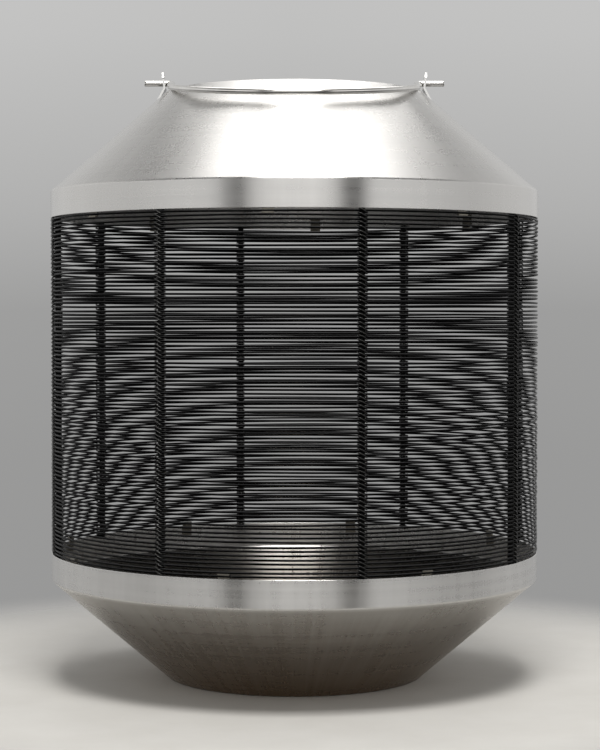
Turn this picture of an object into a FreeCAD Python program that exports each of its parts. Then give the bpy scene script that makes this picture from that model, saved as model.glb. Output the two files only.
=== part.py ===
import FreeCAD, Part
import math
import os
import Sketcher

# Open-topped wire lantern that stands on the floor.
# Two equal cone-and-band shells of brushed stainless sheet are held apart by a
# cage of black wire rings lashed to eight upright ribs. A rod bail hinges in
# two bent lugs at the mouth and is stored folded forward, resting on the rim.
# Millimetres, +Z up, origin at the middle of the base, front towards -Y.

doc = FreeCAD.newDocument("lantern")

# ---------------------------------------------------------------- dimensions
SIZES = [
    ("shell_radius", 200.0, "outer radius of both bands"),
    ("mouth_radius", 105.0, "outer radius of the mouth rim and of the base"),
    ("cone_height", 82.0, "height of each cone"),
    ("band_height", 22.0, "height of each upright band"),
    ("cage_height", 272.0, "clear height between the two bands"),
    ("sheet_thickness", 1.2, "shell sheet"),
    ("crease_radius", 2.5, "outside bend radius between band and cone"),
    ("base_radius_bend", 3.0, "outside bend radius round the base"),
    ("wire_radius", 0.85, "wire of the rings"),
    ("wire_pitch", 3.2, "ring to ring"),
    ("ring_radius", 199.15, "ring centre line"),
    ("rib_radius", 2.5, "upright rib bar"),
    ("rib_circle", 195.75, "circle of the rib centres"),
    ("rib_inset", 2.5, "rib length inside each band"),
    ("rib_angle", 14.6, "first rib, degrees from the front towards +X"),
    ("lash_width", 7.0, "lashing seen from outside"),
    ("lash_inner", 200.05, "inner radius of the lashing's outer strands"),
    ("lash_outer", 200.9, "outer radius of the lashing's outer strands"),
    ("lash_wrap", 0.8, "thickness of the lashing round the rib"),
    ("lash_gap", 0.02, "slack between rib and wrap"),
    ("lash_end", 0.4, "lashing stops short of each band"),
    ("clip_arc", 2.6, "clip width as an angle in degrees"),
    ("clip_sheet", 1.0, "clip strip"),
    ("clip_inner", 197.2, "inner radius of the clip's free leg"),
    ("clip_hook", 199.9, "outer radius of the clip's hook"),
    ("clip_leg", 10.0, "clip length on the band"),
    ("clip_reach", 3.7, "clip length past the band's edge"),
    ("clip_angle_top", 174.4, "first upper clip, degrees from the front"),
    ("clip_angle_low", 164.8, "first lower clip, degrees from the front"),
    ("rod_radius", 2.4, "bail rod"),
    ("bail_radius", 100.5, "half circle of the bail"),
    ("bail_bend", 5.0, "bend between bail leg and pivot stub"),
    ("bail_leg", 31.5, "pivot axis to the centre of the half circle"),
    ("stub_end", 123.5, "outer end of each pivot stub from the middle"),
    ("stub_chamfer", 0.5, "chamfer on the stub ends"),
    ("pivot_rise", 7.9, "pivot axis above the rim"),
    ("fold_angle", 9.0, "bail below horizontal when folded, degrees"),
    ("pivot_play", 0.08, "radial clearance in the lug holes"),
    ("lug_sheet", 1.6, "lug strip"),
    ("lug_width", 16.0, "lug width"),
    ("lug_waist_x", 106.6, "lug waist, middle of the strip"),
    ("lug_waist_rise", 3.6, "lug waist above the rim"),
    ("lug_tip_x", 108.4, "ear tip, middle of the strip"),
    ("lug_tip_rise", 17.2, "ear tip above the rim"),
    ("lug_toe_out", 6.4, "lug toe outside the rim's outer edge"),
    ("lug_corner", 7.4, "corner radius of the ear"),
]
sheet = doc.addObject("Spreadsheet::Sheet", "Sizes")
for row, (alias, value, note) in enumerate(SIZES, start=1):
    sheet.set("A%d" % row, alias)
    sheet.set("B%d" % row, repr(float(value)))
    sheet.set("C%d" % row, note)
    sheet.setAlias("B%d" % row, alias)
doc.recompute()


def size(name):
    return float(sheet.get(name))


# Heights used again and again, written as expressions of the sheet.
LOW_CREASE = "Sizes.cone_height"
LOW_EDGE = "(Sizes.cone_height + Sizes.band_height)"
TOP_EDGE = "(Sizes.cone_height + Sizes.band_height + Sizes.cage_height)"
TOP_CREASE = "(Sizes.cone_height + 2 * Sizes.band_height + Sizes.cage_height)"
RIM = "(2 * Sizes.cone_height + 2 * Sizes.band_height + Sizes.cage_height)"
RUN = "(Sizes.shell_radius - Sizes.mouth_radius)"
SLANT = "sqrt(%s * %s + Sizes.cone_height * Sizes.cone_height)" % (RUN, RUN)
SIN = "(Sizes.cone_height / %s)" % SLANT          # sine of the cone's slope
COS = "(%s / %s)" % (RUN, SLANT)                  # cosine of the cone's slope
TAN = "(Sizes.cone_height / %s)" % RUN            # tangent of the cone's slope

run = size("shell_radius") - size("mouth_radius")
slope = math.atan2(size("cone_height"), run)
low_edge = size("cone_height") + size("band_height")
top_edge = low_edge + size("cage_height")
rim = top_edge + size("band_height") + size("cone_height")


# ------------------------------------------------------------ sketch helpers
def origin_plane(body, role):
    for feature in body.Origin.OriginFeatures:
        if feature.Role == role:
            return feature
    raise RuntimeError("no plane " + role)


def body_sketch(body, name, role):
    sketch = body.newObject("Sketcher::SketchObject", name)
    sketch.AttachmentSupport = [(origin_plane(body, role), "")]
    sketch.MapMode = "FlatFace"
    return sketch


def pin(sketch, geo, pos, x, y):
    """Fix one vertex to the sketch origin by two driving distances."""
    for kind, axis, text in (("DistanceX", -2, x), ("DistanceY", -1, y)):
        if text == "0":
            sketch.addConstraint(Sketcher.Constraint("PointOnObject", geo, pos, axis))
        else:
            point = sketch.getPoint(geo, pos)
            now = point.x if kind == "DistanceX" else point.y
            at = sketch.addConstraint(
                Sketcher.Constraint(kind, -1, 1, geo, pos, now))
            sketch.setExpression("Constraints[%d]" % at, text)


def polygon(sketch, corners):
    """A closed outline; each corner is (x, y, x expression, y expression)."""
    count = len(corners)
    for i in range(count):
        a, b = corners[i], corners[(i + 1) % count]
        sketch.addGeometry(Part.LineSegment(
            FreeCAD.Vector(a[0], a[1], 0), FreeCAD.Vector(b[0], b[1], 0)), False)
    for i in range(count):
        sketch.addConstraint(
            Sketcher.Constraint("Coincident", i, 2, (i + 1) % count, 1))
    for i, corner in enumerate(corners):
        pin(sketch, i, 1, corner[2], corner[3])


def edges_where(shape, test):
    return ["Edge%d" % (i + 1) for i, edge in enumerate(shape.Edges) if test(edge)]


def circle_edge(edge, radius, z):
    curve = edge.Curve
    return (curve.TypeId == "Part::GeomCircle"
            and abs(curve.Radius - radius) < 0.02
            and abs(curve.Center.z - z) < 0.02)


nodes = []


# ------------------------------------------------------------------- shells
def shell_lathe(body, name, corners):
    sketch = body_sketch(body, name + "_profile", "XZ_Plane")
    polygon(sketch, corners)
    turn = body.newObject("PartDesign::Revolution", name + "_turn")
    turn.Profile = sketch
    turn.ReferenceAxis = (sketch, ["V_Axis"])
    turn.Angle = 360.0
    body.Tip = turn
    doc.recompute()
    return turn


thick = size("sheet_thickness")
radius = size("shell_radius")
mouth = size("mouth_radius")
sin_s, cos_s, tan_s = math.sin(slope), math.cos(slope), math.tan(slope)

# Upper shell: band, cone and an open mouth whose edge is cut square.
upper = doc.addObject("PartDesign::Body", "upper_shell")
upper.Label = "upper_shell"
top_crease = top_edge + size("band_height")
inner_crease = rim - (thick + (radius - thick - mouth) * sin_s) / cos_s
upper_turn = shell_lathe(upper, "upper", [
    (radius, top_edge, "Sizes.shell_radius", TOP_EDGE),
    (radius, top_crease, "Sizes.shell_radius", TOP_CREASE),
    (mouth, rim, "Sizes.mouth_radius", RIM),
    (mouth - thick * sin_s, rim - thick * cos_s,
     "Sizes.mouth_radius - Sizes.sheet_thickness * " + SIN,
     RIM + " - Sizes.sheet_thickness * " + COS),
    (radius - thick, inner_crease,
     "Sizes.shell_radius - Sizes.sheet_thickness",
     RIM + " - (Sizes.sheet_thickness + (" + RUN
     + " - Sizes.sheet_thickness) * " + SIN + ") / " + COS),
    (radius - thick, top_edge,
     "Sizes.shell_radius - Sizes.sheet_thickness", TOP_EDGE),
])
bend = upper.newObject("PartDesign::Fillet", "upper_bend")
bend.Base = (upper_turn, edges_where(
    upper_turn.Shape, lambda e: circle_edge(e, radius, top_crease)))
bend.setExpression("Radius", "Sizes.crease_radius")
upper.Tip = bend
doc.recompute()
bend_in = upper.newObject("PartDesign::Fillet", "upper_bend_inside")
bend_in.Base = (bend, edges_where(
    bend.Shape, lambda e: circle_edge(e, radius - thick, inner_crease)))
bend_in.setExpression("Radius", "Sizes.crease_radius - Sizes.sheet_thickness")
upper.Tip = bend_in
doc.recompute()
nodes.append(upper)

# Lower shell: the same band and cone the other way up, closed by a flat floor.
lower = doc.addObject("PartDesign::Body", "lower_shell")
lower.Label = "lower_shell"
low_crease = size("cone_height")
low_inner = low_crease + thick * (1.0 / cos_s - tan_s)
floor_x = mouth - thick * (1.0 / cos_s - 1.0) / tan_s
lower_turn = shell_lathe(lower, "lower", [
    (0.0, 0.0, "0", "0"),
    (mouth, 0.0, "Sizes.mouth_radius", "0"),
    (radius, low_crease, "Sizes.shell_radius", LOW_CREASE),
    (radius, low_edge, "Sizes.shell_radius", LOW_EDGE),
    (radius - thick, low_edge,
     "Sizes.shell_radius - Sizes.sheet_thickness", LOW_EDGE),
    (radius - thick, low_inner,
     "Sizes.shell_radius - Sizes.sheet_thickness",
     LOW_CREASE + " + Sizes.sheet_thickness * (1 / " + COS + " - " + TAN + ")"),
    (floor_x, thick,
     "Sizes.mouth_radius - Sizes.sheet_thickness * (1 / " + COS + " - 1) / " + TAN,
     "Sizes.sheet_thickness"),
    (0.0, thick, "0", "Sizes.sheet_thickness"),
])
bend = lower.newObject("PartDesign::Fillet", "lower_bend")
bend.Base = (lower_turn, edges_where(
    lower_turn.Shape, lambda e: circle_edge(e, radius, low_crease)))
bend.setExpression("Radius", "Sizes.crease_radius")
lower.Tip = bend
doc.recompute()
base_bend = lower.newObject("PartDesign::Fillet", "base_bend")
base_bend.Base = (bend, edges_where(
    bend.Shape, lambda e: circle_edge(e, mouth, 0.0)))
base_bend.setExpression("Radius", "Sizes.base_radius_bend")
lower.Tip = base_bend
doc.recompute()
nodes.append(lower)

# --------------------------------------------------------------- wire rings
# Eighty-five closed rings fill the cage height, in five bundles of seventeen.
RINGS = int(round(size("cage_height") / size("wire_pitch")))
BUNDLES = ["wire_rings_bottom", "wire_rings_lower", "wire_rings_middle",
           "wire_rings_upper", "wire_rings_top"]
PER_BUNDLE = RINGS // len(BUNDLES)
for b, bundle_name in enumerate(BUNDLES):
    rings = []
    for i in range(PER_BUNDLE):
        k = b * PER_BUNDLE + i
        ring = doc.addObject("Part::Torus", "ring_%02d" % (k + 1))
        ring.setExpression("Radius1", "Sizes.ring_radius")
        ring.setExpression("Radius2", "Sizes.wire_radius")
        ring.setExpression("Placement.Base.z",
                           "%s + Sizes.wire_pitch * %.1f" % (LOW_EDGE, k + 0.5))
        rings.append(ring)
    bundle = doc.addObject("Part::Compound", bundle_name)
    bundle.Label = bundle_name
    bundle.Links = rings
    nodes.append(bundle)

# ------------------------------------------------------------ upright ribs
for k in range(8):
    angle = "((Sizes.rib_angle + %d) * 1 deg)" % (45 * k)
    rib = doc.addObject("Part::Cylinder", "rib_%d" % (k + 1))
    rib.Label = "rib_%d" % (k + 1)
    rib.setExpression("Radius", "Sizes.rib_radius")
    rib.setExpression("Height", "Sizes.cage_height + 2 * Sizes.rib_inset")
    rib.setExpression("Placement.Base.x", "Sizes.rib_circle * sin(%s)" % angle)
    rib.setExpression("Placement.Base.y", "-Sizes.rib_circle * cos(%s)" % angle)
    rib.setExpression("Placement.Base.z", LOW_EDGE + " - Sizes.rib_inset")
    nodes.append(rib)


# --------------------------------------------------------------- lashings
# Binding wire wound over every ring and round the rib behind it. Its space is
# kept as two strips: the strands outside the rings, and the wrap on the rib's
# inner side.
def cylinder(name, radius_expr, height_expr, z_expr):
    solid = doc.addObject("Part::Cylinder", name)
    solid.setExpression("Radius", radius_expr)
    solid.setExpression("Height", height_expr)
    solid.setExpression("Placement.Base.z", z_expr)
    return solid


LASH_HEIGHT = "Sizes.cage_height - 2 * Sizes.lash_end"
LASH_BASE = LOW_EDGE + " + Sizes.lash_end"
for k in range(8):
    name = "lashing_%d" % (k + 1)
    turn = size("rib_angle") + 45.0 * k
    half = math.degrees(size("lash_width") / 2.0 / size("lash_outer"))
    outer = cylinder(name + "_outer", "Sizes.lash_outer", LASH_HEIGHT, LASH_BASE)
    outer.setExpression(
        "Angle", "Sizes.lash_width / Sizes.lash_outer * 180 / pi * 1 deg")
    inner = cylinder(name + "_core", "Sizes.lash_inner",
                     LASH_HEIGHT + " + 2", LASH_BASE + " - 1")
    outer.Placement = FreeCAD.Placement(
        outer.Placement.Base,
        FreeCAD.Rotation(FreeCAD.Vector(0, 0, 1), turn - 90.0 - half))
    strip = doc.addObject("Part::Cut", name + "_strands")
    strip.Base = outer
    strip.Tool = inner
    angle = "((Sizes.rib_angle + %d) * 1 deg)" % (45 * k)
    sleeve = cylinder(name + "_sleeve", "Sizes.rib_radius + Sizes.lash_wrap",
                      LASH_HEIGHT, LASH_BASE)
    sleeve.Angle = 180.0
    bore = cylinder(name + "_bore", "Sizes.rib_radius + Sizes.lash_gap",
                    LASH_HEIGHT + " + 2", LASH_BASE + " - 1")
    for piece in (sleeve, bore):
        piece.setExpression("Placement.Base.x",
                            "Sizes.rib_circle * sin(%s)" % angle)
        piece.setExpression("Placement.Base.y",
                            "-Sizes.rib_circle * cos(%s)" % angle)
    sleeve.Placement = FreeCAD.Placement(
        sleeve.Placement.Base,
        FreeCAD.Rotation(FreeCAD.Vector(0, 0, 1), turn))
    wrap = doc.addObject("Part::Cut", name + "_wrap")
    wrap.Base = sleeve
    wrap.Tool = bore
    lashing = doc.addObject("Part::Compound", name)
    lashing.Label = name
    lashing.Links = [strip, wrap]
    nodes.append(lashing)


# ------------------------------------------------------------- cage clips
# A bent strip spot-welded inside the band; its free leg runs behind the first
# ring and hooks out between the first and the second.
def clip_profile(name, edge_z, edge_expr, up):
    sign = 1.0 if up else -1.0
    op = "+" if up else "-"
    no = "-" if up else "+"
    band = radius - thick
    free, hook = size("clip_inner"), size("clip_hook")
    strip, leg, reach = size("clip_sheet"), size("clip_leg"), size("clip_reach")
    band_e = "(Sizes.shell_radius - Sizes.sheet_thickness)"
    sketch = doc.addObject("Sketcher::SketchObject", name)
    sketch.Placement = FreeCAD.Placement(
        FreeCAD.Vector(0, 0, 0),
        FreeCAD.Rotation(FreeCAD.Vector(1, 0, 0), 90))
    polygon(sketch, [
        (free, edge_z - sign * reach, "Sizes.clip_inner",
         "%s %s Sizes.clip_reach" % (edge_expr, no)),
        (hook, edge_z - sign * reach, "Sizes.clip_hook",
         "%s %s Sizes.clip_reach" % (edge_expr, no)),
        (hook, edge_z - sign * (reach - strip), "Sizes.clip_hook",
         "%s %s (Sizes.clip_reach - Sizes.clip_sheet)" % (edge_expr, no)),
        (free + strip, edge_z - sign * (reach - strip),
         "Sizes.clip_inner + Sizes.clip_sheet",
         "%s %s (Sizes.clip_reach - Sizes.clip_sheet)" % (edge_expr, no)),
        (free + strip, edge_z + sign * 1.0,
         "Sizes.clip_inner + Sizes.clip_sheet", "%s %s 1" % (edge_expr, op)),
        (band, edge_z + sign * 1.6, band_e, "%s %s 1.6" % (edge_expr, op)),
        (band, edge_z + sign * leg, band_e,
         "%s %s Sizes.clip_leg" % (edge_expr, op)),
        (band - strip, edge_z + sign * leg, band_e + " - Sizes.clip_sheet",
         "%s %s Sizes.clip_leg" % (edge_expr, op)),
        (band - strip, edge_z + sign * 2.2, band_e + " - Sizes.clip_sheet",
         "%s %s 2.2" % (edge_expr, op)),
        (free, edge_z + sign * 1.6, "Sizes.clip_inner",
         "%s %s 1.6" % (edge_expr, op)),
    ])
    return sketch


for name, edge_z, edge_expr, up, first in (
        ("upper_clips", top_edge, TOP_EDGE, True, size("clip_angle_top")),
        ("lower_clips", low_edge, LOW_EDGE, False, size("clip_angle_low"))):
    profile = clip_profile(name + "_profile", edge_z, edge_expr, up)
    doc.recompute()
    copies = []
    for k in range(8):
        clip = doc.addObject("Part::Revolution", "%s_%d" % (name, k + 1))
        clip.Source = profile
        clip.Axis = FreeCAD.Vector(0, 0, 1)
        clip.Base = FreeCAD.Vector(0, 0, 0)
        clip.setExpression("Angle", "Sizes.clip_arc")
        clip.Symmetric = True
        clip.Solid = True
        clip.Placement = FreeCAD.Placement(
            FreeCAD.Vector(0, 0, 0),
            FreeCAD.Rotation(FreeCAD.Vector(0, 0, 1), first + 45.0 * k - 90.0))
        copies.append(clip)
    group = doc.addObject("Part::Compound", name)
    group.Label = name
    group.Links = copies
    nodes.append(group)


# ------------------------------------------------------------- handle lugs
# A strip bent at its waist: the leg stands on the cone just outside the rim,
# the ear above it leans out a little and carries the pivot hole.
def lug(name, left):
    body = doc.addObject("PartDesign::Body", name)
    body.Label = name
    half = size("lug_sheet") / 2.0
    wx, wz = size("lug_waist_x"), rim + size("lug_waist_rise")
    tx, tz = size("lug_tip_x"), rim + size("lug_tip_rise")
    ox = mouth + size("lug_toe_out")
    oz = rim - size("lug_toe_out") * tan_s
    # unit normals of ear and leg, both pointing away from the axis
    ear = math.atan2(tx - wx, tz - wz)
    ex, ez = math.cos(ear), -math.sin(ear)
    leg = math.atan2(wz - oz, ox - wx)
    lx, lz = math.sin(leg), math.cos(leg)
    # corner where the two offset faces meet, on either side of the waist
    def meet(s):
        # ear line: p.e = w.e + s*half ; leg line: p.l = w.l + s*half
        c1 = wx * ex + wz * ez + s * half
        c2 = wx * lx + wz * lz + s * half
        det = ex * lz - ez * lx
        return ((c1 * lz - ez * c2) / det, (ex * c2 - c1 * lx) / det)
    outer_waist, inner_waist = meet(1.0), meet(-1.0)
    # the toe is cut along the cone: points where the leg's faces reach it
    def toe(s):
        c2 = wx * lx + wz * lz + s * half
        # cone line: z = rim - (x - mouth) * tan
        x = (c2 - lz * (rim + mouth * tan_s)) / (lx - lz * tan_s)
        return (x, rim - (x - mouth) * tan_s)
    toe_out, toe_in = toe(1.0), toe(-1.0)
    tip_out = (tx + ex * half, tz + ez * half)
    tip_in = (tx - ex * half, tz - ez * half)
    sketch = body_sketch(body, name + "_profile", "XZ_Plane")
    outline = [tip_in, tip_out, outer_waist, toe_out, toe_in, inner_waist]
    polygon(sketch, [
        (x, z, "%.5f + (Sizes.mouth_radius - %.5f)" % (x, mouth),
         "%.5f + (%s - %.5f)" % (z, RIM, rim)) for x, z in outline])
    pad = body.newObject("PartDesign::Pad", name + "_strip")
    pad.Profile = sketch
    pad.setExpression("Length", "Sizes.lug_width")
    pad.Midplane = True
    body.Tip = pad
    doc.recompute()
    # rounded ear: the two tip edges that run through the strip
    def tip_edge(edge):
        a, b = edge.Vertexes[0].Point, edge.Vertexes[-1].Point
        high = min(a.z, b.z) > tz - 1.0
        along_y = abs(a.y - b.y) > 0.1
        return high and not along_y and abs(edge.Length - 2 * half) < 0.05
    ear_round = body.newObject("PartDesign::Fillet", name + "_ear")
    ear_round.Base = (pad, edges_where(pad.Shape, tip_edge))
    ear_round.setExpression("Radius", "Sizes.lug_corner")
    body.Tip = ear_round
    doc.recompute()
    hole_sketch = body_sketch(body, name + "_hole_sketch", "YZ_Plane")
    hole_sketch.addGeometry(Part.Circle(
        FreeCAD.Vector(0, rim + size("pivot_rise"), 0),
        FreeCAD.Vector(0, 0, 1), size("rod_radius") + size("pivot_play")), False)
    pin(hole_sketch, 0, 3, "0", RIM + " + Sizes.pivot_rise")
    at = hole_sketch.addConstraint(Sketcher.Constraint(
        "Radius", 0, size("rod_radius") + size("pivot_play")))
    hole_sketch.setExpression("Constraints[%d]" % at,
                              "Sizes.rod_radius + Sizes.pivot_play")
    hole = body.newObject("PartDesign::Pocket", name + "_hole")
    hole.Profile = hole_sketch
    hole.Type = "ThroughAll"
    hole.Midplane = True
    body.Tip = hole
    doc.recompute()
    before = ear_round.Shape.Volume
    expected = math.pi * (size("rod_radius") + size("pivot_play")) ** 2 \
        * size("lug_sheet") / math.cos(ear)
    print(name, "hole removes %.2f of about %.2f mm3"
          % (before - hole.Shape.Volume, expected))
    if abs(before - hole.Shape.Volume - expected) > 0.05 * expected:
        raise RuntimeError(name + ": the pivot hole is wrong")
    if left:
        body.Placement = FreeCAD.Placement(
            FreeCAD.Vector(0, 0, 0),
            FreeCAD.Rotation(FreeCAD.Vector(0, 0, 1), 180))
    doc.recompute()
    nodes.append(body)
    return body


lug("handle_lug_right", False)
lug("handle_lug_left", True)

# ------------------------------------------------------------------- handle
# Round rod: pivot stub, tight bend, short straight leg and half of a half
# circle, mirrored. Drawn flat along +Y, then turned to the front and folded.
handle = doc.addObject("PartDesign::Body", "handle")
handle.Label = "handle"
stub, bend_r = size("stub_end"), size("bail_bend")
bail_r, leg_y = size("bail_radius"), size("bail_leg")
path = body_sketch(handle, "handle_path", "XY_Plane")
V = FreeCAD.Vector
path.addGeometry(Part.LineSegment(V(stub, 0, 0), V(bail_r + bend_r, 0, 0)), False)
path.addGeometry(Part.ArcOfCircle(
    Part.Circle(V(bail_r + bend_r, bend_r, 0), V(0, 0, 1), bend_r),
    math.pi, 1.5 * math.pi), False)
path.addGeometry(Part.LineSegment(V(bail_r, bend_r, 0), V(bail_r, leg_y, 0)), False)
path.addGeometry(Part.ArcOfCircle(
    Part.Circle(V(0, leg_y, 0), V(0, 0, 1), bail_r), 0.0, 0.5 * math.pi), False)
path.addConstraint(Sketcher.Constraint("Tangent", 0, 2, 1, 2))
path.addConstraint(Sketcher.Constraint("Tangent", 1, 1, 2, 1))
path.addConstraint(Sketcher.Constraint("Tangent", 2, 2, 3, 1))
path.addConstraint(Sketcher.Constraint("PointOnObject", 0, 1, -1))
path.addConstraint(Sketcher.Constraint("PointOnObject", 0, 2, -1))
path.addConstraint(Sketcher.Constraint("PointOnObject", 3, 3, -2))
path.addConstraint(Sketcher.Constraint("PointOnObject", 3, 2, -2))
for kind, args, text in (
        ("Radius", (1, bend_r), "Sizes.bail_bend"),
        ("Radius", (3, bail_r), "Sizes.bail_radius"),
        ("DistanceX", (-1, 1, 0, 1, stub), "Sizes.stub_end"),
        ("DistanceY", (-1, 1, 3, 3, leg_y), "Sizes.bail_leg")):
    at = path.addConstraint(Sketcher.Constraint(kind, *args))
    path.setExpression("Constraints[%d]" % at, text)
section = body_sketch(handle, "handle_section", "YZ_Plane")
section.setExpression("AttachmentOffset.Base.z", "Sizes.stub_end")
section.addGeometry(Part.Circle(V(0, 0, 0), V(0, 0, 1), size("rod_radius")), False)
section.addConstraint(Sketcher.Constraint("Coincident", 0, 3, -1, 1))
at = section.addConstraint(Sketcher.Constraint("Radius", 0, size("rod_radius")))
section.setExpression("Constraints[%d]" % at, "Sizes.rod_radius")
doc.recompute()
rod = handle.newObject("PartDesign::AdditivePipe", "handle_rod")
rod.Profile = section
rod.Spine = (path, ["Edge1", "Edge2", "Edge3", "Edge4"])
handle.Tip = rod
doc.recompute()
length = (stub - bail_r - bend_r) + math.pi / 2 * bend_r + (leg_y - bend_r) \
    + math.pi / 2 * bail_r
expected = length * math.pi * size("rod_radius") ** 2
print("handle half: volume %.1f, section x length %.1f" % (rod.Shape.Volume, expected))
if abs(rod.Shape.Volume - expected) > 0.01 * expected:
    raise RuntimeError("the handle's sweep is wrong")
ends = handle.newObject("PartDesign::Chamfer", "stub_chamfer")
ends.Base = (rod, edges_where(rod.Shape, lambda e: (
    e.Curve.TypeId == "Part::GeomCircle"
    and abs(e.Curve.Center.x - stub) < 0.01
    and abs(e.Curve.Radius - size("rod_radius")) < 0.01)))
ends.setExpression("Size", "Sizes.stub_chamfer")
handle.Tip = ends
doc.recompute()
mirror = handle.newObject("PartDesign::Mirrored", "handle_mirror")
mirror.Originals = [rod, ends]
mirror.MirrorPlane = (origin_plane(handle, "YZ_Plane"), [""])
handle.Tip = mirror
doc.recompute()
print("handle: volume %.1f" % mirror.Shape.Volume)
handle.Placement = FreeCAD.Placement(
    FreeCAD.Vector(0, 0, rim + size("pivot_rise")),
    FreeCAD.Rotation(FreeCAD.Vector(1, 0, 0), size("fold_angle")).multiply(
        FreeCAD.Rotation(FreeCAD.Vector(0, 0, 1), 180)))
doc.recompute()
nodes.append(handle)

# ------------------------------------------------------------------- checks
doc.recompute()
bad = []
for thing in doc.Objects:
    if "Invalid" in thing.State or "Error" in thing.State:
        bad.append("%s %s" % (thing.Name, thing.State))
for node in nodes:
    if node.Shape.isNull() or not node.Shape.isValid() or not node.Shape.Solids:
        bad.append(node.Label + " has no valid solid")
if bad:
    raise RuntimeError("; ".join(bad))
if len({node.Label for node in nodes}) != len(nodes):
    raise RuntimeError("two sub-parts share a name")

os.makedirs("parts", exist_ok=True)
for node in nodes:
    node.Shape.exportStep("parts/%s.step" % node.Label)
    box = node.Shape.BoundBox
    print("%-18s solids %2d volume %10.1f  x %7.2f %7.2f  y %7.2f %7.2f  z %7.2f %7.2f"
          % (node.Label, len(node.Shape.Solids), node.Shape.Volume,
             box.XMin, box.XMax, box.YMin, box.YMax, box.ZMin, box.ZMax))
print(len(nodes), "nodes")
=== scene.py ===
import math

import bpy
import numpy as np
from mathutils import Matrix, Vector


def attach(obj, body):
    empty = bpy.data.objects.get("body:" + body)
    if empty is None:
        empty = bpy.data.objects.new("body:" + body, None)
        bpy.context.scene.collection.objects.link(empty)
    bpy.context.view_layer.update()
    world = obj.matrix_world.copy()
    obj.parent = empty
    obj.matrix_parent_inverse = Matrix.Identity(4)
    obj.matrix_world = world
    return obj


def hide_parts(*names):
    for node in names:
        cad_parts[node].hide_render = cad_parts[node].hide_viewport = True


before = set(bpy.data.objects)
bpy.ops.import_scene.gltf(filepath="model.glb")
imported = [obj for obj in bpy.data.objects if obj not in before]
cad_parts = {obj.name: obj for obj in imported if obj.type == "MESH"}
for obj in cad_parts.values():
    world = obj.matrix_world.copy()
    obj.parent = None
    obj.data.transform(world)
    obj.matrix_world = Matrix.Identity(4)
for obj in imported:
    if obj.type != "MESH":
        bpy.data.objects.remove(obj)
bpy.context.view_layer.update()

# ------------------------------------------------------------------ sizes (m)
MM = 0.001
R_OUT = 200.0          # band outer radius, mm
MOUTH = 105.0
CONE = 82.0
BAND = 22.0
CAGE = 272.0
SHEET = 1.2
LOW_EDGE = CONE + BAND
TOP_EDGE = LOW_EDGE + CAGE
RIM = TOP_EDGE + BAND + CONE
RING_R, WIRE_R, PITCH, RINGS = 199.15, 0.85, 3.2, 85
RIB_CIRCLE, RIB_R = 195.75, 2.5
RIB_ANGLE = 14.6
PIVOT_Z = RIM + 7.9
ROD_R = 2.4


# ------------------------------------------------------------- mesh helpers
def new_mesh(name, verts, faces, normals=None):
    mesh = bpy.data.meshes.new(name)
    mesh.from_pydata([tuple(v) for v in np.asarray(verts, float) * MM], [],
                     [tuple(int(i) for i in f) for f in faces])
    mesh.polygons.foreach_set("use_smooth", [True] * len(mesh.polygons))
    mesh.update()
    if normals is not None:
        mesh.normals_split_custom_set_from_vertices(
            [tuple(n) for n in np.asarray(normals, float)])
    obj = bpy.data.objects.new(name, mesh)
    bpy.context.scene.collection.objects.link(obj)
    return obj


def rounded_profile(corners, arc_steps=6, runs=10):
    """corners: (r, z, fillet) of a closed outline, outside on the right hand.
    Returns points and outward normals, with the fillets drawn as arcs."""
    pts, nrm = [], []
    count = len(corners)
    for i in range(count):
        a = np.array(corners[i - 1][:2], float)
        b = np.array(corners[i][:2], float)
        c = np.array(corners[(i + 1) % count][:2], float)
        rad = corners[i][2]
        u, v = (b - a), (c - b)
        u, v = u / np.linalg.norm(u), v / np.linalg.norm(v)
        nu, nv = np.array([u[1], -u[0]]), np.array([v[1], -v[0]])
        turn = math.atan2(u[0] * v[1] - u[1] * v[0], float(u @ v))
        back = rad * abs(math.tan(turn / 2))
        start, end = b - u * back, b + v * back
        side = 1.0 if turn > 0 else -1.0
        centre = start - nu * rad * side
        for k in range(arc_steps + 1):
            f = k / arc_steps
            ang = turn * f
            rot = np.array([[math.cos(ang), -math.sin(ang)],
                            [math.sin(ang), math.cos(ang)]])
            n = rot @ nu
            pts.append(centre + n * rad * side)
            nrm.append(n)
        # points along the run to the next corner
        d = corners[(i + 1) % count]
        e = np.array(corners[(i + 2) % count][:2], float)
        w = e - c
        w = w / np.linalg.norm(w)
        turn2 = math.atan2(v[0] * w[1] - v[1] * w[0], float(v @ w))
        stop = c - v * d[2] * abs(math.tan(turn2 / 2))
        steps = max(1, int(runs * np.linalg.norm(stop - end) / 60.0))
        for k in range(1, steps):
            pts.append(end + (stop - end) * k / steps)
            nrm.append(nv)
    return np.array(pts), np.array(nrm)


def lathe(name, corners, segments=360, closed=True, wobble=None):
    pts, nrm = rounded_profile(corners)
    count = len(pts)
    th = np.arange(segments) * 2 * math.pi / segments
    s, c = np.sin(th), np.cos(th)
    r, z = pts[:, 0], pts[:, 1]
    rr = np.repeat(r[None, :], segments, 0)
    zz = np.repeat(z[None, :], segments, 0)
    if wobble is not None:
        dr, dz = wobble(th[:, None], rr, zz)
        rr, zz = rr + dr, zz + dz
    verts = np.stack([rr * s[:, None], -rr * c[:, None], zz], -1).reshape(-1, 3)
    normals = np.stack([nrm[None, :, 0] * s[:, None], -nrm[None, :, 0] * c[:, None],
                        np.repeat(nrm[None, :, 1], segments, 0)], -1).reshape(-1, 3)
    faces = []
    for i in range(segments):
        j = (i + 1) % segments
        for k in range(count):
            m = (k + 1) % count
            faces.append((i * count + k, j * count + k, j * count + m, i * count + m))
    return new_mesh(name, verts, faces, normals), pts


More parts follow.
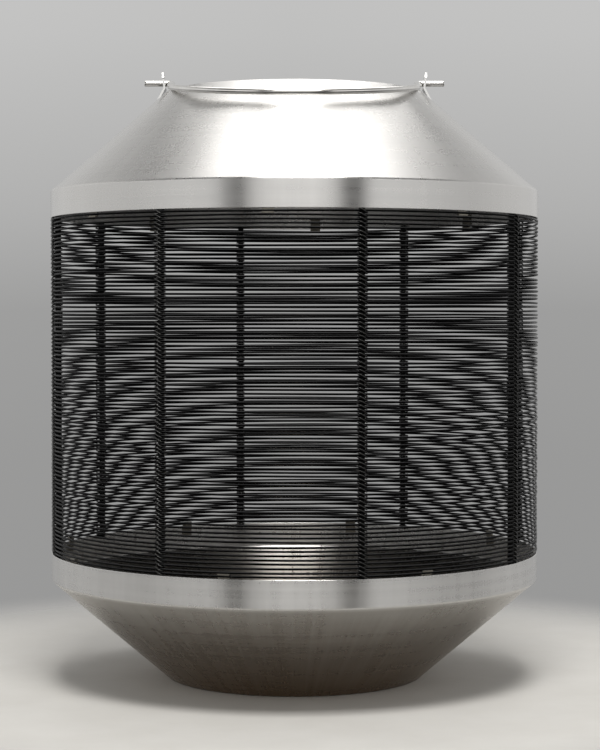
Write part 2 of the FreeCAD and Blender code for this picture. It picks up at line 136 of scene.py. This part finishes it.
def tube(paths, radius, sides=8, closed=False):
    """Swept round tubes. paths: list of (N,3) arrays; radius: number or list."""
    verts, faces, normals = [], [], []
    base = 0
    for index, path in enumerate(paths):
        path = np.asarray(path, float)
        n = len(path)
        rad = radius if np.isscalar(radius) else radius[index]
        rad = np.full(n, rad) if np.isscalar(rad) else np.asarray(rad, float)
        if closed:
            tan = np.roll(path, -1, 0) - np.roll(path, 1, 0)
        else:
            tan = np.gradient(path, axis=0)
        tan /= np.linalg.norm(tan, axis=1)[:, None]
        ref = np.array([0.0, 0.0, 1.0])
        if abs(tan[0] @ ref) > 0.9:
            ref = np.array([1.0, 0.0, 0.0])
        u = ref - tan[0] * (tan[0] @ ref)
        u /= np.linalg.norm(u)
        us = [u]
        for i in range(1, n):
            u = us[-1] - tan[i] * (tan[i] @ us[-1])
            u /= np.linalg.norm(u)
            us.append(u)
        us = np.array(us)
        vs = np.cross(tan, us)
        a = np.arange(sides) * 2 * math.pi / sides
        dirs = (us[:, None, :] * np.cos(a)[None, :, None]
                + vs[:, None, :] * np.sin(a)[None, :, None])
        ring = path[:, None, :] + dirs * rad[:, None, None]
        verts.append(ring.reshape(-1, 3))
        normals.append(dirs.reshape(-1, 3))
        last = n if closed else n - 1
        for i in range(last):
            j = (i + 1) % n
            for k in range(sides):
                m = (k + 1) % sides
                faces.append((base + i * sides + k, base + i * sides + m,
                              base + j * sides + m, base + j * sides + k))
        if not closed:
            faces.append(tuple(base + k for k in range(sides))[::-1])
            faces.append(tuple(base + (n - 1) * sides + k for k in range(sides)))
        base += n * sides
    return np.concatenate(verts), faces, np.concatenate(normals)


def smooth_line(points, steps):
    """Catmull-Rom through the points."""
    p = np.asarray(points, float)
    p = np.vstack([2 * p[0] - p[1], p, 2 * p[-1] - p[-2]])
    out = []
    for i in range(1, len(p) - 2):
        a, b, c, d = p[i - 1], p[i], p[i + 1], p[i + 2]
        for k in range(steps):
            t = k / steps
            out.append(0.5 * ((2 * b) + (c - a) * t + (2 * a - 5 * b + 4 * c - d) * t * t
                              + (3 * b - a - 3 * c + d) * t ** 3))
    out.append(p[-2])
    return np.array(out)


# ---------------------------------------------------------------- materials
def material(name):
    mat = bpy.data.materials.new(name)
    mat.use_nodes = True
    nodes, links = mat.node_tree.nodes, mat.node_tree.links
    bsdf = nodes["Principled BSDF"]
    return mat, nodes, links, bsdf


def noise(nodes, links, vector, scale, detail=2.0, rough=0.5):
    tex = nodes.new("ShaderNodeTexNoise")
    tex.inputs["Scale"].default_value = scale
    tex.inputs["Detail"].default_value = detail
    tex.inputs["Roughness"].default_value = rough
    links.new(vector, tex.inputs["Vector"])
    return tex.outputs["Fac"]


def mapping(nodes, links, vector, scale):
    node = nodes.new("ShaderNodeMapping")
    node.inputs["Scale"].default_value = scale
    links.new(vector, node.inputs["Vector"])
    return node.outputs["Vector"]


def remap(nodes, links, value, lo, hi, out_lo, out_hi):
    node = nodes.new("ShaderNodeMapRange")
    node.inputs["From Min"].default_value = lo
    node.inputs["From Max"].default_value = hi
    node.inputs["To Min"].default_value = out_lo
    node.inputs["To Max"].default_value = out_hi
    links.new(value, node.inputs["Value"])
    return node.outputs["Result"]


def math_node(nodes, links, op, a, b):
    node = nodes.new("ShaderNodeMath")
    node.operation = op
    for i, value in enumerate((a, b)):
        if isinstance(value, (int, float)):
            node.inputs[i].default_value = value
        else:
            links.new(value, node.inputs[i])
    return node.outputs[0]


def mix_color(nodes, links, fac, a, b):
    node = nodes.new("ShaderNodeMix")
    node.data_type = "RGBA"
    node.inputs[6].default_value = (*a, 1.0)
    node.inputs[7].default_value = (*b, 1.0)
    links.new(fac, node.inputs[0])
    return node.outputs[2]


def brushed_steel(name, dark, light, rough, aniso, bump, painted_foot_shade=None, top=0.080):
    """Sheet brushed round the axis: fine level lines, soft clouding from
    handling, and faint streaks down the slope left by polishing."""
    mat, nodes, links, bsdf = material(name)
    coord = nodes.new("ShaderNodeTexCoord").outputs["Object"]
    fine = mapping(nodes, links, coord, (7.0, 7.0, 1500.0))
    coarse = mapping(nodes, links, coord, (2.0, 2.0, 300.0))
    flat = nodes.new("ShaderNodeVectorMath")
    flat.operation = "MULTIPLY"
    flat.inputs[1].default_value = (1.0, 1.0, 0.0)
    links.new(coord, flat.inputs[0])
    unit = nodes.new("ShaderNodeVectorMath")
    unit.operation = "NORMALIZE"
    links.new(flat.outputs[0], unit.inputs[0])
    wide = nodes.new("ShaderNodeVectorMath")
    wide.operation = "SCALE"
    wide.inputs["Scale"].default_value = 22.0
    links.new(unit.outputs[0], wide.inputs[0])
    tall = nodes.new("ShaderNodeVectorMath")
    tall.operation = "MULTIPLY_ADD"
    tall.inputs[1].default_value = (0.0, 0.0, 7.0)
    links.new(coord, tall.inputs[0])
    links.new(wide.outputs[0], tall.inputs[2])
    cloud = noise(nodes, links, coord, 11.0, 4.0, 0.6)
    down = noise(nodes, links, tall.outputs[0], 1.0, 4.0, 0.62)
    n_fine = noise(nodes, links, fine, 1.0, 3.0, 0.6)
    n_coarse = noise(nodes, links, coarse, 1.0, 2.0, 0.5)
    lines = math_node(nodes, links, "ADD",
                      math_node(nodes, links, "MULTIPLY", n_fine, 0.6),
                      math_node(nodes, links, "MULTIPLY", n_coarse, 0.4))
    soft = math_node(nodes, links, "ADD",
                     math_node(nodes, links, "MULTIPLY", cloud, 0.45),
                     math_node(nodes, links, "MULTIPLY", down, 0.55))
    tone = math_node(nodes, links, "ADD",
                     math_node(nodes, links, "MULTIPLY", n_coarse, 0.30),
                     math_node(nodes, links, "MULTIPLY", soft, 0.70))
    color = mix_color(nodes, links, remap(nodes, links, tone, 0.36, 0.64, 0.0, 1.0),
                      dark, light)
    if painted_foot_shade is not None:
        # painted shade: the sloping underside is darkened and browned towards the foot,
        # standing in for the shadowed floor it reflects
        height = nodes.new("ShaderNodeSeparateXYZ")
        links.new(coord, height.inputs[0])
        uneven = math_node(nodes, links, "MULTIPLY",
                           math_node(nodes, links, "SUBTRACT", soft, 0.5), 0.05)
        level = math_node(nodes, links, "ADD", height.outputs["Z"], uneven)
        shade = mix_color(nodes, links,
                          remap(nodes, links, level, 0.0, top, 0.0, 1.0), *painted_foot_shade)
        edge = remap(nodes, links, height.outputs["Z"], top - 0.001, top + 0.0025,
                     0.0, 1.0)
        whole = nodes.new("ShaderNodeMix")
        whole.data_type = "RGBA"
        links.new(edge, whole.inputs[0])
        links.new(shade, whole.inputs[6])
        whole.inputs[7].default_value = (1.0, 1.0, 1.0, 1.0)
        both = nodes.new("ShaderNodeMix")
        both.data_type = "RGBA"
        both.blend_type = "MULTIPLY"
        both.inputs[0].default_value = 1.0
        links.new(color, both.inputs[6])
        links.new(whole.outputs[2], both.inputs[7])
        color = both.outputs[2]
    links.new(color, bsdf.inputs["Base Color"])
    bsdf.inputs["Metallic"].default_value = 1.0
    links.new(remap(nodes, links, math_node(
        nodes, links, "ADD", math_node(nodes, links, "MULTIPLY", n_coarse, 0.35),
        math_node(nodes, links, "MULTIPLY", soft, 0.65)), 0.32, 0.68,
        rough - 0.045, rough + 0.05), bsdf.inputs["Roughness"])
    bsdf.inputs["Anisotropic"].default_value = aniso
    bsdf.inputs["Anisotropic Rotation"].default_value = 0.25
    tangent = nodes.new("ShaderNodeTangent")
    tangent.direction_type = "RADIAL"
    tangent.axis = "Z"
    links.new(tangent.outputs["Tangent"], bsdf.inputs["Tangent"])
    b = nodes.new("ShaderNodeBump")
    b.inputs["Strength"].default_value = bump
    b.inputs["Distance"].default_value = 0.00005
    links.new(lines, b.inputs["Height"])
    links.new(b.outputs["Normal"], bsdf.inputs["Normal"])
    return mat


def plain_steel(name, dark, light, rough, bump=0.15, scale=60.0):
    mat, nodes, links, bsdf = material(name)
    coord = nodes.new("ShaderNodeTexCoord").outputs["Object"]
    cloud = noise(nodes, links, coord, scale, 4.0, 0.6)
    grain = noise(nodes, links, coord, scale * 30.0, 3.0, 0.6)
    links.new(mix_color(nodes, links, remap(nodes, links, cloud, 0.35, 0.65, 0.0, 1.0),
                        dark, light), bsdf.inputs["Base Color"])
    bsdf.inputs["Metallic"].default_value = 1.0
    links.new(remap(nodes, links, cloud, 0.3, 0.7, rough - 0.05, rough + 0.06),
              bsdf.inputs["Roughness"])
    b = nodes.new("ShaderNodeBump")
    b.inputs["Strength"].default_value = bump
    b.inputs["Distance"].default_value = 0.00004
    links.new(grain, b.inputs["Height"])
    links.new(b.outputs["Normal"], bsdf.inputs["Normal"])
    return mat


def black_lacquer(name, dark, light, rough, gloss, bump=0.25, painted_top_highlight=None):
    """Black coating. painted_top_highlight: painted highlight, a paler tone on upward-facing
    surfaces where the light from above falls.
    """
    mat, nodes, links, bsdf = material(name)
    coord = nodes.new("ShaderNodeTexCoord").outputs["Object"]
    cloud = noise(nodes, links, coord, 28.0, 4.0, 0.6)
    grain = noise(nodes, links, coord, 900.0, 2.0, 0.5)
    color = mix_color(nodes, links, remap(nodes, links, cloud, 0.35, 0.7, 0.0, 1.0),
                      dark, light)
    # painted highlight: upward-facing surfaces are blended towards a paler tone
    if painted_top_highlight is not None:
        up = nodes.new("ShaderNodeSeparateXYZ")
        links.new(nodes.new("ShaderNodeNewGeometry").outputs["Normal"], up.inputs[0])
        lit_top = nodes.new("ShaderNodeMix")
        lit_top.data_type = "RGBA"
        links.new(remap(nodes, links, up.outputs["Z"], 0.15, 0.95, 0.0, 1.0),
                  lit_top.inputs[0])
        links.new(color, lit_top.inputs[6])
        lit_top.inputs[7].default_value = (*painted_top_highlight, 1.0)
        color = lit_top.outputs[2]
    links.new(color, bsdf.inputs["Base Color"])
    links.new(remap(nodes, links, cloud, 0.3, 0.7, rough - 0.06, rough + 0.10),
              bsdf.inputs["Roughness"])
    bsdf.inputs["Specular IOR Level"].default_value = gloss
    b = nodes.new("ShaderNodeBump")
    b.inputs["Strength"].default_value = bump
    b.inputs["Distance"].default_value = 0.00006
    links.new(grain, b.inputs["Height"])
    links.new(b.outputs["Normal"], bsdf.inputs["Normal"])
    return mat


SHELL = brushed_steel("steel_brushed", (0.57, 0.56, 0.545), (0.64, 0.63, 0.615),
                      0.28, 0.86, 0.12)
# the lower shell carries painted shade, darker and browner towards the foot
SHELL_LOW_SHADED = brushed_steel("steel_brushed_low_painted_shade", (0.54, 0.53, 0.515), (0.61, 0.60, 0.585),
                          0.28, 0.86, 0.12,
                          painted_foot_shade=((0.36, 0.265, 0.18), (0.66, 0.645, 0.62)))
ROD = plain_steel("steel_rod", (0.60, 0.585, 0.56), (0.70, 0.69, 0.67), 0.16)
LUG = plain_steel("steel_lug", (0.56, 0.55, 0.54), (0.66, 0.655, 0.64), 0.24)
CLIP = plain_steel("steel_clip", (0.13, 0.12, 0.10), (0.22, 0.205, 0.175), 0.36)
# the wires and the lashings carry a painted highlight on their upward faces
WIRE = black_lacquer("lacquer_wire", (0.0003, 0.0003, 0.0003), (0.0008, 0.0008, 0.0009),
                     0.20, 0.02, painted_top_highlight=(0.040, 0.040, 0.041))
BAR = black_lacquer("lacquer_bar", (0.0015, 0.0015, 0.0015), (0.0030, 0.0030, 0.0030),
                    0.34, 0.10)
BIND = black_lacquer("lacquer_binding", (0.0006, 0.0006, 0.0006),
                     (0.0014, 0.0013, 0.0012), 0.18, 0.16, painted_top_highlight=(0.075, 0.074, 0.071))


def dress(obj, mat):
    obj.data.materials.clear()
    obj.data.materials.append(mat)


def redress(node, mat):
    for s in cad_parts[node].material_slots:
        s.material = mat


# ------------------------------------------------------------------- shells
slope = math.atan2(CONE, R_OUT - MOUTH)
sin_s, cos_s, tan_s = math.sin(slope), math.cos(slope), math.tan(slope)


def hand_spun(phase):
    """Sheet that is true to a tenth of a millimetre or so, not perfect."""
    def wobble(th, r, z):
        dr = (0.10 * np.cos(2 * th + phase) + 0.06 * np.cos(3 * th + 2.1 * phase)
              + 0.035 * np.cos(7 * th + 0.7 * phase)
              * np.sin(z * 0.045 + phase))
        keep = np.clip((r - 60.0) / 60.0, 0.0, 1.0)
        return dr * keep, 0.0 * dr
    return wobble


inner_crease = RIM - (SHEET + (R_OUT - SHEET - MOUTH) * sin_s) / cos_s
upper, _ = lathe("upper_shell_sheet", [
    (R_OUT, TOP_EDGE, 0.42),
    (R_OUT, TOP_EDGE + BAND, 2.5),
    (MOUTH, RIM, 0.5),
    (MOUTH - SHEET * sin_s, RIM - SHEET * cos_s, 0.5),
    (R_OUT - SHEET, inner_crease, 1.3),
    (R_OUT - SHEET, TOP_EDGE, 0.42)], wobble=hand_spun(0.4))
low_inner = CONE + SHEET * (1 / cos_s - tan_s)
floor_x = MOUTH - SHEET * (1 / cos_s - 1) / tan_s
lower, _ = lathe("lower_shell_sheet", [
    (2.0, 0.0, 0.2),
    (MOUTH, 0.0, 3.0),
    (R_OUT, CONE, 2.5),
    (R_OUT, LOW_EDGE, 0.42),
    (R_OUT - SHEET, LOW_EDGE, 0.42),
    (R_OUT - SHEET, low_inner, 1.3),
    (floor_x, SHEET, 2.0),
    (2.0, SHEET, 0.2)], wobble=hand_spun(1.9))
for shell, node, mat in ((upper, "upper_shell", SHELL),
                         (lower, "lower_shell", SHELL_LOW_SHADED)):
    dress(shell, mat)
    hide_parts(node)
    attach(shell, "lantern")

# -------------------------------------------------------------- wire rings
rng = np.random.RandomState(7)
RIB_TH = np.radians(RIB_ANGLE + 45.0 * np.arange(8))
at_rib = rng.normal(0.0, 0.17, (RINGS, 1)) + rng.normal(0.0, 0.12, (RINGS, 8))
at_rib = np.clip(at_rib, -0.55, 0.55)
bow = np.clip(rng.normal(0.0, 0.30, (RINGS, 8)), -0.7, 0.7)
bow_r = rng.normal(0.0, 0.14, (RINGS, 8))
ring_z = LOW_EDGE + PITCH * (np.arange(RINGS) + 0.5)
SEG = 240


def ring_path(k):
    th = np.arange(SEG) * 2 * math.pi / SEG
    pos = (th - RIB_TH[0]) % (2 * math.pi) / (math.pi / 4)
    bay = np.floor(pos).astype(int) % 8
    f = pos - np.floor(pos)
    nxt = (bay + 1) % 8
    blend = f * f * (3 - 2 * f)
    dz = at_rib[k, bay] * (1 - blend) + at_rib[k, nxt] * blend
    dz = dz + bow[k, bay] * np.sin(math.pi * f) ** 2
    dr = bow_r[k, bay] * np.sin(math.pi * f) ** 2
    r = RING_R + np.clip(dr, -0.3, 0.3)
    return np.stack([r * np.sin(th), -r * np.cos(th), ring_z[k] + dz], -1)


bundles = ["wire_rings_bottom", "wire_rings_lower", "wire_rings_middle",
           "wire_rings_upper", "wire_rings_top"]
per = RINGS // len(bundles)
for b, node in enumerate(bundles):
    paths = [ring_path(k) for k in range(b * per, (b + 1) * per)]
    verts, faces, normals = tube(paths, WIRE_R, 10, closed=True)
    piece = new_mesh(node + "_drawn", verts, faces, normals)
    dress(piece, WIRE)
    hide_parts(node)
    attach(piece, "lantern")

# ---------------------------------------------------------------- lashings
BIND_R = 0.58


def lashing_path(rib, hand):
    th = RIB_TH[rib]
    radial = np.array([math.sin(th), -math.cos(th), 0.0])
    along = np.array([math.cos(th), math.sin(th), 0.0])
    pts = []

    def put(t, r, z):
        pts.append(radial * r + along * t * hand + np.array([0.0, 0.0, z]))

    order = range(RINGS - 1, -1, -1)
    for k in order:
        z = ring_z[k] + at_rib[k, rib]
        up = 0.5 * PITCH if k == RINGS - 1 else 0.5 * (
            ring_z[k + 1] + at_rib[k + 1, rib] - z)
        down = 0.5 * PITCH if k == 0 else 0.5 * (
            z - ring_z[k - 1] - at_rib[k - 1, rib])
        up, down = min(up, 1.7), min(down, 1.7)
        j = rng.normal(0.0, 0.10, 4)
        put(-3.15 + j[0], 199.0, z + up)
        put(-2.1 + j[1], 200.25, z + up * 0.72)
        put(0.0 + j[2], 200.60, z + 0.05)
        put(2.1 + j[1], 200.25, z - down * 0.72)
        put(3.15 + j[0], 199.0, z - down)
        put(3.15, 196.4, z - down)
        put(2.25, 193.6, z - down)
        put(0.0, 192.62, z - down)
        put(-2.25, 193.6, z - down)
        put(-3.15, 196.4, z - down)
    return smooth_line(pts, 2)


for rib in range(8):
    verts, faces, normals = tube([lashing_path(rib, 1.0)], BIND_R, 7)
    piece = new_mesh("lashing_%d_wound" % (rib + 1), verts, faces, normals)
    dress(piece, BIND)
    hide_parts("lashing_%d" % (rib + 1))
    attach(piece, "lantern")

# --------------------------------------------------------------- the handle
fold = math.radians(9.0)
BAIL, BEND, LEG, STUB = 100.5, 5.0, 31.5, 123.5
half = []
for k in range(11):
    x = STUB + (BAIL + BEND - STUB) * k / 10
    half.append((x, 0.0))
for k in range(1, 13):
    a = 1.5 * math.pi - 0.5 * math.pi * k / 12
    half.append((BAIL + BEND + BEND * math.cos(a), BEND + BEND * math.sin(a)))
for k in range(1, 5):
    half.append((BAIL, BEND + (LEG - BEND) * k / 5))
for k in range(0, 49):
    a = 0.5 * math.pi * k / 48
    half.append((BAIL * math.cos(a), LEG + BAIL * math.sin(a)))
line = half + [(-x, y) for x, y in half[-2::-1]]
line = np.array(line)
flat = np.stack([-line[:, 0], -line[:, 1], np.zeros(len(line))], -1)
# turned to the front and folded down about the pivot line
rod = np.stack([flat[:, 0], flat[:, 1] * math.cos(fold),
                flat[:, 1] * math.sin(fold) + PIVOT_Z], -1)
# rounded stub ends
def capped(path, radius):
    a, b = path[0], path[-1]
    da = (path[1] - a) / np.linalg.norm(path[1] - a)
    db = (path[-2] - b) / np.linalg.norm(path[-2] - b)
    ends_a, ends_b, rad_a, rad_b = [], [], [], []
    for d, q in ((0.0, 0.0), (0.0, radius - 0.75), (0.08, radius - 0.42),
                 (0.25, radius - 0.16), (0.55, radius)):
        ends_a.append(a + da * d)
        ends_b.append(b + db * d)
        rad_a.append(max(q, 0.05))
        rad_b.append(max(q, 0.05))
    ends_a[0] = a - da * 0.001
    ends_b[0] = b - db * 0.001
    mid = path[1:-1]
    return (np.vstack([ends_a, mid, ends_b[::-1]]),
            np.concatenate([rad_a, np.full(len(mid), radius), rad_b[::-1]]))


rod_path, rod_radius = capped(rod, ROD_R)
verts, faces, normals = tube([rod_path], [rod_radius], 40)
piece = new_mesh("handle_rod", verts, faces)
dress(piece, ROD)
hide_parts("handle")
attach(piece, "handle")

# CAD nodes that stay, with their finish
for node in ("handle_lug_left", "handle_lug_right"):
    redress(node, LUG)
for node in ("upper_clips", "lower_clips"):
    redress(node, CLIP)
for k in range(8):
    redress("rib_%d" % (k + 1), BAR)

# -------------------------------------------------------------------- stage
floor_mesh = bpy.data.meshes.new("floor")
ring_n, rad = 96, 0.70
fv = [(0.0, 0.0, -0.0003)] + [
    (rad * math.cos(2 * math.pi * i / ring_n), rad * math.sin(2 * math.pi * i / ring_n),
     -0.0003) for i in range(ring_n)]
floor_mesh.from_pydata(fv, [], [(0, 1 + i, 1 + (i + 1) % ring_n) for i in range(ring_n)])
floor = bpy.data.objects.new("floor", floor_mesh)
bpy.context.scene.collection.objects.link(floor)
mat, nodes, links, bsdf = material("pale_floor")
coord = nodes.new("ShaderNodeTexCoord").outputs["Object"]
links.new(mix_color(nodes, links, noise(nodes, links, coord, 14.0, 5.0, 0.62),
                    (0.56, 0.545, 0.515), (0.66, 0.65, 0.625)),
          bsdf.inputs["Base Color"])
bsdf.inputs["Roughness"].default_value = 0.8
bsdf.inputs["Specular IOR Level"].default_value = 0.2
# the floor fades out into the backdrop instead of ending in an edge
dist = nodes.new("ShaderNodeVectorMath")
dist.operation = "LENGTH"
links.new(coord, dist.inputs[0])
fade = nodes.new("ShaderNodeMapRange")
fade.interpolation_type = "SMOOTHSTEP"
fade.inputs["From Min"].default_value = 0.295
fade.inputs["From Max"].default_value = 0.53
fade.inputs["To Min"].default_value = 1.0
fade.inputs["To Max"].default_value = 0.0
links.new(dist.outputs["Value"], fade.inputs["Value"])
links.new(fade.outputs["Result"], bsdf.inputs["Alpha"])
floor_mesh.materials.append(mat)

# studio surroundings: pale all round, a calmer backdrop behind the lantern,
# two unlit gaps between the panels in front
world = bpy.data.worlds.new("studio")
bpy.context.scene.world = world
world.use_nodes = True
wn, wl = world.node_tree.nodes, world.node_tree.links
bg = wn["Background"]


def ramp(value, lo, hi, stops):
    scaled = wn.new("ShaderNodeMapRange")
    scaled.inputs["From Min"].default_value = lo
    scaled.inputs["From Max"].default_value = hi
    wl.new(value, scaled.inputs["Value"])
    node = wn.new("ShaderNodeValToRGB")
    elements = node.color_ramp.elements
    while len(elements) > 1:
        elements.remove(elements[-1])
    for i, (at, grey) in enumerate(stops):
        e = elements[0] if i == 0 else elements.new((at - lo) / (hi - lo))
        e.position = (at - lo) / (hi - lo)
        e.color = (grey, grey, grey, 1.0)
    wl.new(scaled.outputs["Result"], node.inputs["Fac"])
    return node.outputs["Color"]


def wmath(op, a, b=None):
    node = wn.new("ShaderNodeMath")
    node.operation = op
    for i, value in enumerate((a, b)):
        if value is None:
            continue
        if isinstance(value, (int, float)):
            node.inputs[i].default_value = value
        else:
            wl.new(value, node.inputs[i])
    return node.outputs[0]


direction = wn.new("ShaderNodeTexCoord").outputs["Generated"]
split = wn.new("ShaderNodeSeparateXYZ")
wl.new(direction, split.inputs[0])
round_deg = wmath("MULTIPLY", wmath("ARCTAN2", split.outputs["X"],
                                    wmath("MULTIPLY", split.outputs["Y"], -1.0)),
                  180.0 / math.pi)
height_deg = wmath("MULTIPLY", wmath("ARCSINE", split.outputs["Z"]), 180.0 / math.pi)
around = ramp(round_deg, -180.0, 180.0, [
    (-180, 0.205), (-169, 0.22), (-155, 0.42), (-138, 0.56), (-100, 0.63), (-80, 0.72),
    (-55, 0.94), (-36, 1.0), (-31, 0.45), (-28.5, 0.20), (-24, 0.20), (-21, 0.55),
    (-18, 0.93), (17, 0.93), (21, 0.55), (24, 0.05), (29.5, 0.04), (32.5, 0.65), (36, 1.08),
    (60, 0.90), (90, 0.60), (130, 0.56), (155, 0.46), (169, 0.22), (180, 0.205)])
near = ramp(round_deg, -180.0, 180.0, [
    (-180, 0.0), (-115, 0.0), (-75, 1.0), (75, 1.0), (115, 0.0), (180, 0.0)])
low_part = ramp(height_deg, -90.0, 90.0, [
    (-90, 0.05), (-30, 0.06), (-15, 0.12), (-7, 0.21), (-2, 0.48), (2, 0.94), (5, 1.0),
    (17, 1.0), (24, 0.36), (40, 0.16), (90, 0.10)])
far_part = ramp(height_deg, -90.0, 90.0, [
    (-90, 0.20), (-12, 0.50), (-4, 0.72), (0, 0.9), (3, 1.0), (24, 0.95), (40, 0.74),
    (60, 0.40), (90, 0.10)])
tall_w = wmath("ADD", wmath("MULTIPLY", near, low_part),
               wmath("MULTIPLY", wmath("SUBTRACT", 1.0, near), far_part))
behind = ramp(round_deg, -180.0, 180.0, [
    (-180, 1.0), (-168, 1.0), (-150, 0.0), (150, 0.0), (168, 1.0), (180, 1.0)])
rise = ramp(height_deg, -90.0, 90.0, [
    (-90, 0.08), (-12, 0.10), (-2.5, 0.05), (0, 0.035), (8, 0.15), (22, 0.20),
    (45, 0.15), (90, 0.0)])
total = wmath("ADD", wmath("MULTIPLY", around, tall_w),
              wmath("MULTIPLY", behind, rise))
tint = wn.new("ShaderNodeCombineXYZ")
for i, share in enumerate((1.0, 0.998, 0.99)):
    wl.new(wmath("MULTIPLY", total, share), tint.inputs[i])
wl.new(tint.outputs[0], bg.inputs["Color"])
bg.inputs["Strength"].default_value = 1.5


def area(name, where, target, size_x, size_y, watts, color=(1.0, 1.0, 1.0)):
    data = bpy.data.lights.new(name, "AREA")
    data.shape = "RECTANGLE"
    data.size, data.size_y = size_x, size_y
    data.energy = watts
    data.color = color
    obj = bpy.data.objects.new(name, data)
    obj.location = where
    obj.rotation_euler = (Vector(target) - Vector(where)).to_track_quat("-Z", "Y").to_euler()
    obj.visible_camera = False
    bpy.context.scene.collection.objects.link(obj)
    return obj


area("overhead", (0.035, 0.33, 1.40), (0.035, -0.209, 0.558), 0.91, 0.95, 7.4,
     (1.0, 0.99, 0.975))
area("front_top", (0.05, -0.78, 1.75), (0.0, -0.28, 0.0), 0.7, 0.6, 26.0,
     (1.0, 0.985, 0.96))

# ------------------------------------------------------------------- camera
cam_data = bpy.data.cameras.new("camera")
cam_data.sensor_fit = "HORIZONTAL"
cam_data.sensor_width = 36.0
cam_data.lens = 2004.5 / 600.0 * 36.0
cam_data.clip_start, cam_data.clip_end = 0.05, 50.0
cam = bpy.data.objects.new("camera", cam_data)
cam.location = (0.0, -8.2961 * 0.2, 1.50677 * 0.2)
cam.rotation_euler = (math.radians(90.0 - 1.8516), 0.0, math.radians(-0.1597))
bpy.context.scene.collection.objects.link(cam)
bpy.context.scene.camera = cam
bpy.context.scene.view_settings.view_transform = "Standard"
bpy.context.scene.view_settings.look = "None"
